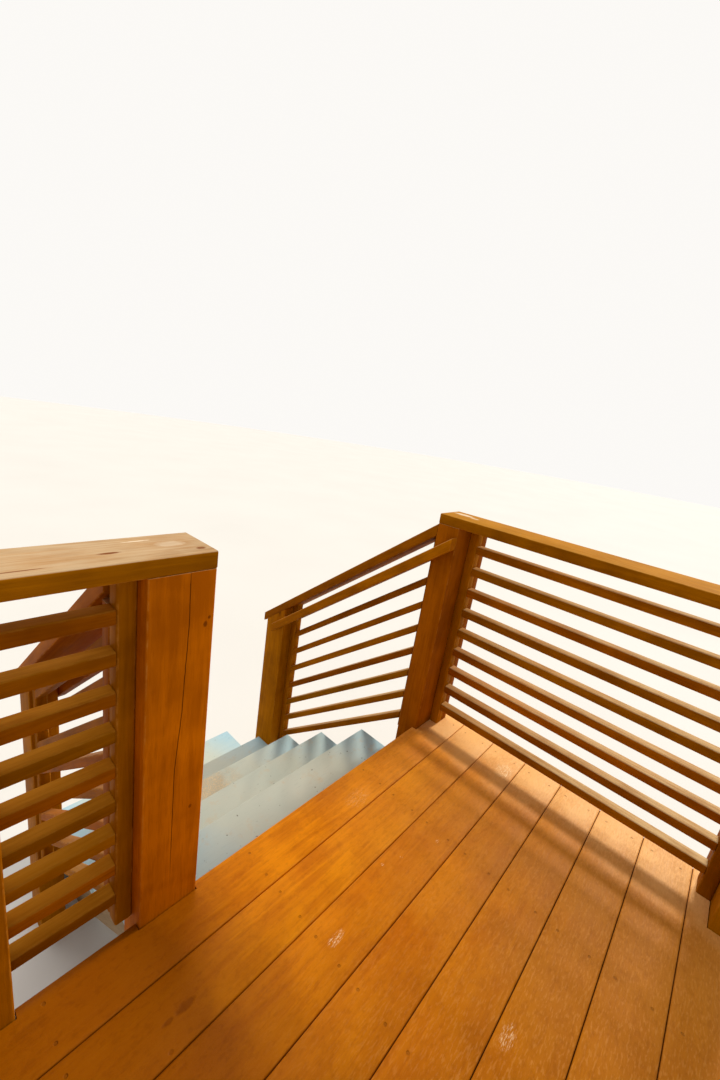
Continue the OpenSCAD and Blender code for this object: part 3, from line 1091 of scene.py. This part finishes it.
def deck_material():
    """The bright stain with its wear, and painted shade, sheen and sunlight."""
    finish, tint, roughness, height, place = stained(
        "deck_stain", "x", DECK_LIGHT, DECK_DARK, gloss=0.42,
        rarity=0.90, scuff_level=0.72, vary=0.35)
    here = finish.here()
    across, along = finish.part(here, "X"), finish.part(here, "Y")
    for centre, size, depth in DECK_KNOTS:
        mark = spot(finish, centre, size, ragged=0.7, grit=90.0)
        tint = finish.mix(mark * depth, tint, KNOT_HEART)
        height = height - mark * 0.5

    cloud = finish.noise(place, scale=6.0, detail=4.0, roughness=0.6)
    to_right = across - deck_corner.x + (cloud - 0.5) * 0.3
    to_near = (deck_corner.y - along) + (cloud - 0.5) * 0.3
    to_left = deck_corner.x - across + (cloud - 0.5) * 0.12 + RAISE
    past_foot = across - (deck_corner.x + FOOT_OF_RAIL) + (cloud - 0.5) * 0.16 + RAISE
    right_side = finish.ramp(to_right, (0.30, 0.0), (1.0, 1.0))
    near_side = finish.ramp(to_near, (0.15, 0.0), (0.75, 1.0))
    left_side = finish.ramp(to_left, (0.42, 0.0), (0.62, 1.0))
    sunlit_strip = finish.ramp(past_foot, (0.42, 0.0), (0.58, 1.0))

    # Pale flecks, partly scratches and partly painted glints, most where the sheen is painted.
    flecks = finish.noise(
        finish.stretch(place, (0.25, 1, 1)), scale=230.0, detail=3.0, roughness=0.6)
    glint_reach = finish.math("MAXIMUM", near_side * 0.7, right_side * 0.6)
    glints_and_scratches = finish.ramp(flecks, (0.52, 0.0), (0.64, 1.0)) * glint_reach * (1 - left_side)
    # Painted shade darkens the rear of the deck.
    tint = finish.mix(near_side * 0.70, tint, NEAR_PAINTED_SHADE)
    # Painted sheen pales the boards towards the right rail.
    tint = finish.mix(right_side * 0.36, tint, RIGHT_PAINTED_SHEEN)
    # Painted shade darkens the left end.
    tint = finish.mix(left_side * 0.88, tint, LEFT_PAINTED_SHADE)
    tint = finish.mix(glints_and_scratches * 0.32, tint, GLINT_AND_SCRATCH_PALE)

    peel = finish.noise(
        finish.stretch(here, (0.6, 1, 1)), scale=95.0, detail=3.0, roughness=0.6)
    shaded = finish.ramp(peel, (0.34, 0.32), (0.50, 0.0))
    tint = finish.mix(shaded, tint, PEEL_SHADE, "MULTIPLY")
    # The strip at the foot of the right rail is painted paler, as sunlit.
    strip_patches = finish.ramp(flecks * 0.5 + cloud * 0.5, (0.38, 0.6), (0.54, 1.0))
    tint = finish.mix(sunlit_strip * strip_patches * 0.75, tint, SUNLIT_STRIP_PALE)

    fibres = finish.noise(
        finish.stretch(place, (0.2, 1, 1)), scale=420.0, detail=4.0, roughness=0.75)
    raised = finish.ramp(fibres, (0.50, 0.0), (0.60, 1.0))
    # Pale patches: partly rubbed stain, partly painted glints.
    for centre, size, depth in DECK_RUBS_AND_GLINTS:
        mark = spot(finish, centre, size, ragged=0.8, grit=140.0) * raised
        tint = finish.mix(mark * depth, tint, RUB_AND_GLINT_PALE)
    screws = joist_screws(finish, across, along)
    # Screw dips are darkened with painted shade.
    tint = finish.mix(screws * 0.35, tint, SCREW_DIP_SHADE)
    height = height + peel * 0.7 - screws * 1.2 + flecks * glint_reach * 0.3
    return finish.surface(tint, roughness, height, strength=0.75, reach=0.0016, shine=0.05)


def gap_shade_material():
    """Painted shade for the gaps between boards, dark brown."""
    finish = Finish("gap_grime")
    crumbs = finish.noise(finish.here(), scale=160.0, detail=4.0, roughness=0.7)
    tint = finish.mix(crumbs, colour(40, 20, 4), colour(74, 40, 12))
    roughness = 0.9 + (crumbs - 0.5) * 0.1
    return finish.surface(tint, roughness, crumbs, strength=0.8, reach=0.002, shine=0.05)


deck_stain, grime = deck_material(), gap_shade_material()
for index, piece in enumerate(deck_boards, start=1):
    piece.data.materials.append(deck_stain)
    if index in gap_grime:
        gap_grime[index].data.materials.append(grime)
        join(piece.name, [piece, gap_grime[index]])
print("deck finish on", len(deck_boards), "boards")

# %% [markdown]
# ## Bare framing
# Joists, ledger and stringers are rough construction lumber, never stained: grey-tan
# with dark streaks. They could be modelled again like the boards above, but hardly
# show, and their nodes already have the right shape, sawn steps included. So the
# nodes stay and only take a material.

# %% Framing lumber
LUMBER_DARK, LUMBER_LIGHT = colour(132, 106, 74), colour(176, 148, 108)
LUMBER_STREAK, LUMBER_KNOT = colour(96, 76, 54), colour(80, 52, 30)
WEATHERED = colour(140, 132, 118)
FRAMING = {
    "joists": "y", "house_ledger": "x",
    "stringer_1": "fall", "stringer_2": "fall", "stringer_3": "fall",
}


def framing_material(along):
    """Bare lumber that has begun to turn grey."""
    finish = Finish("framing_" + along)
    place, _ = board_place(finish, along)
    fine, broad = grain(finish, place, along)
    heart, halo = knots(finish, place, along, 0.75)
    tint = finish.mix(broad, LUMBER_DARK, LUMBER_LIGHT)
    tint = finish.mix(finish.ramp(fine, (0.3, 0.6), (0.5, 0.0)), tint, LUMBER_STREAK)
    weather = finish.ramp(finish.noise(place, scale=2.5), (0.4, 0.0), (0.65, 1.0))
    tint = finish.mix(weather * 0.5, tint, WEATHERED)
    tint = finish.mix(halo * 0.4 + heart * 0.5, tint, LUMBER_KNOT)
    roughness = 0.78 + (fine - 0.5) * 0.2
    height = fine * 0.8 + broad * 0.8
    return finish.surface(tint, roughness, height, strength=0.6, reach=0.0012)


framing = {along: framing_material(along) for along in ("x", "y", "fall")}
for node, along in FRAMING.items():
    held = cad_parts[node]
    if not held.material_slots:
        held.data.materials.append(None)
    for material_slot in held.material_slots:
        material_slot.link = "OBJECT"
        material_slot.material = framing[along]
print("framing nodes:", len(FRAMING))

# %% [markdown]
# ## Floor
# The object stands on a plain pale floor. A curved backdrop would have to be turned
# for each view, so the floor is a disc wide enough to reach the horizon all round.

# %% Floor
FLOOR_RADIUS, FLOOR_CORNERS = 40, 96


def floor_material():
    """Matt and pale, with a faint cloud in it."""
    finish = Finish("floor")
    cloud = finish.noise(finish.here(), scale=0.6, detail=2.0)
    tint = finish.mix(cloud, colour(206, 204, 200), colour(214, 212, 208))
    return finish.surface(tint, 0.9, cloud, strength=0.02, reach=0.002)


bpy.ops.object.select_all(action="DESELECT")
bpy.ops.mesh.primitive_circle_add(
    vertices=FLOOR_CORNERS, radius=FLOOR_RADIUS, fill_type="NGON")
floor = bpy.context.object
floor.name = "floor"
floor.data.materials.append(floor_material())
print("floor laid")

# %% [markdown]
# ## Light
# One soft sky could light it all, but then nothing would throw a clear shade. So a
# warm, narrow sun stands to the right, beyond the rail, and the slats throw bars of
# shade on to the deck. A second lamp, broad and soft, shines from beyond the foot of
# the stairs. The sky looks brighter to the camera than it shines, which keeps the
# shade deep.

# %% Lamps and sky
SKY_COLOUR = (0.97, 0.95, 0.92, 1.0)
SKY, SEEN_SKY = 0.56, 1.0
LAMPS = (
    ("sun", (1.2, -0.08, 1.0), 3.0, 0.17, (1.0, 0.94, 0.84)),
    ("open_side", (0.1, 1.0, 1.1), 1.6, 1.0, (1.0, 0.96, 0.90)),
)

world = bpy.data.worlds.new("sky")
world.use_nodes = True
bpy.context.scene.world = world
sky = world.node_tree
background = sky.nodes["Background"]
background.inputs["Color"].default_value = SKY_COLOUR
path = sky.nodes.new("ShaderNodeLightPath")
strength = sky.nodes.new("ShaderNodeMapRange")
strength.inputs["To Min"].default_value = SKY
strength.inputs["To Max"].default_value = SEEN_SKY
sky.links.new(path.outputs["Is Camera Ray"], strength.inputs["Value"])
sky.links.new(strength.outputs["Result"], background.inputs["Strength"])

for name, towards, energy, softness, tone in LAMPS:
    lamp_data = bpy.data.lights.new(name, "SUN")
    lamp_data.energy, lamp_data.angle, lamp_data.color = energy, softness, tone
    lamp = bpy.data.objects.new(name, lamp_data)
    lamp.matrix_world = Vector(towards).to_track_quat("Z", "Y").to_matrix().to_4x4()
    bpy.context.scene.collection.objects.link(lamp)
bpy.context.scene.view_settings.view_transform = "Standard"
print("sky and", len(LAMPS), "lamps ready")
